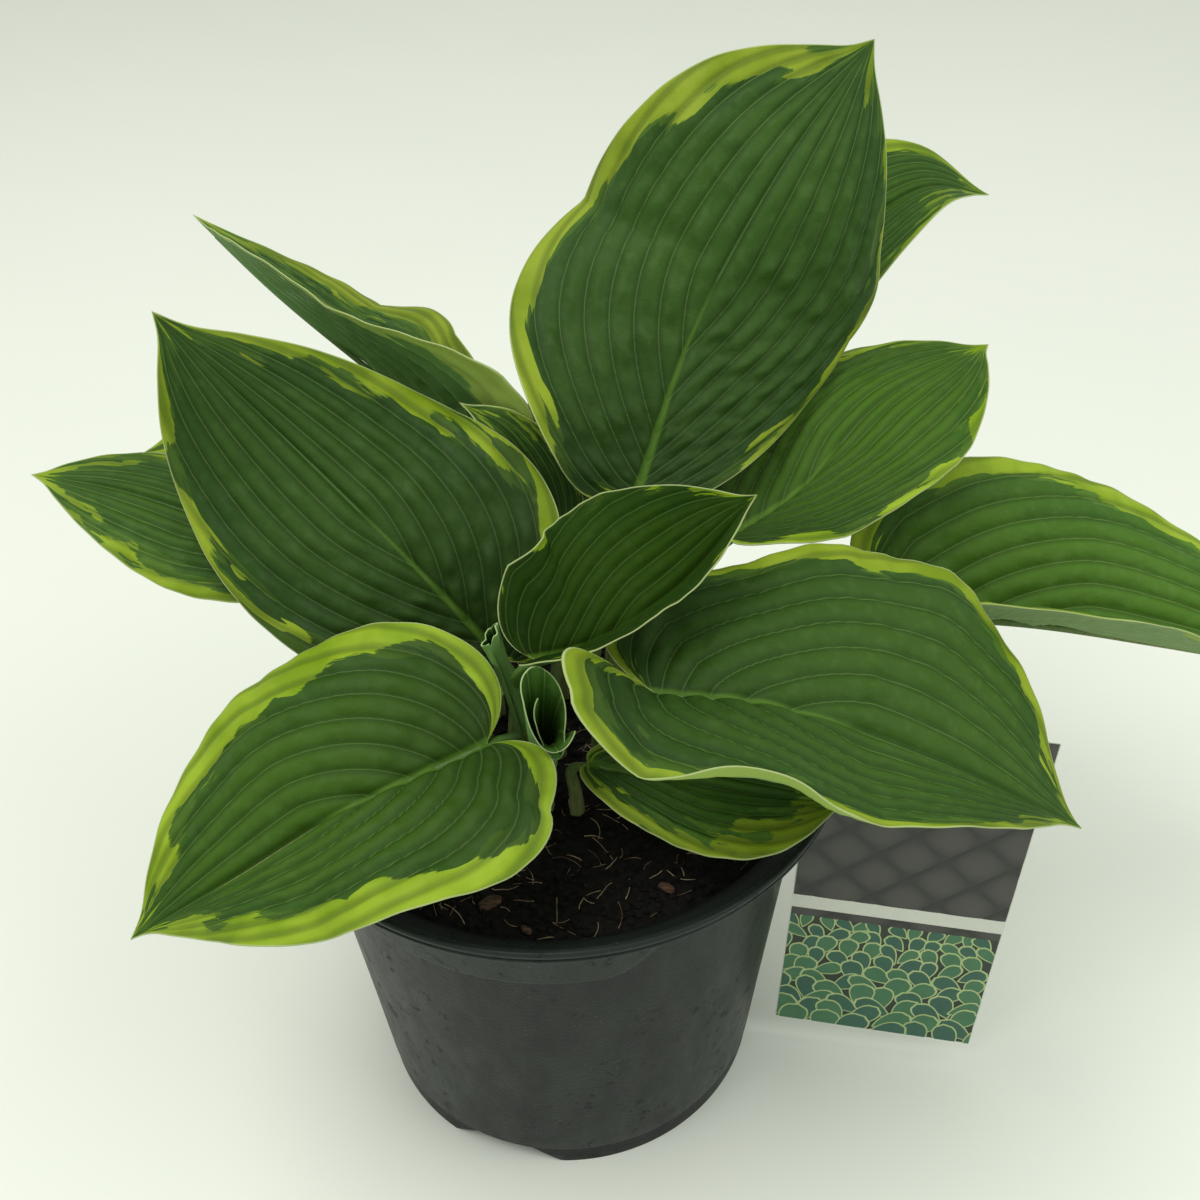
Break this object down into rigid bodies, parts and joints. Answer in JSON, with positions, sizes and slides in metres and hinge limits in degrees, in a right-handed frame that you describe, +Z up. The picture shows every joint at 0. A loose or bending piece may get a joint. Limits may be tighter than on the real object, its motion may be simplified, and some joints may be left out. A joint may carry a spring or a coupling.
{
  "type": "potted hosta plant",
  "caption": "Hosta with broad ribbed heart-shaped leaves edged in lime, growing in a round black nursery pot with a plain plant label hung on its rim.",
  "frame": {"origin": "middle of the pot's underside, on the surface that the pot stands on", "axes": "+Z up along the pot's axis; the front of the plant, the side seen in the picture, looks along -Y; +X to the right"},
  "size_m": [0.4341, 0.2647, 0.3356],
  "materials": {
    "pot_plastic": "dull black injection-moulded plastic, lightly dusty",
    "potting_mix": "dark fibrous potting mix with bark crumbs",
    "label_card": "coated printed card, satin",
    "leaf_dark": "satin deep green leaf with a lime margin and impressed veins",
    "leaf_bright": "satin mid green leaf with a lime margin and impressed veins",
    "leaf_young": "young rolled leaf, powdery grey-green outside"
  },
  "bodies": {
    "root": {"pot": "pot_plastic", "soil": "potting_mix", "label": "label_card", "leaf_tall_back": "leaf_dark", "leaf_upper_right_rear": "leaf_dark", "leaf_right_rear": "leaf_bright", "leaf_right": "leaf_bright", "leaf_front_right": "leaf_dark", "leaf_centre_young": "leaf_dark", "leaf_front_left": "leaf_bright", "leaf_left": "leaf_dark", "leaf_upper_left_folded": "leaf_dark", "leaf_far_left": "leaf_bright", "leaf_left_rear": "leaf_bright", "leaf_inner_left": "leaf_dark", "leaf_inner_back": "leaf_dark", "leaf_low_front": "leaf_bright", "furled_leaf_front": "leaf_young", "furled_leaf_inner": "leaf_young"}
  },
  "joints": []
}
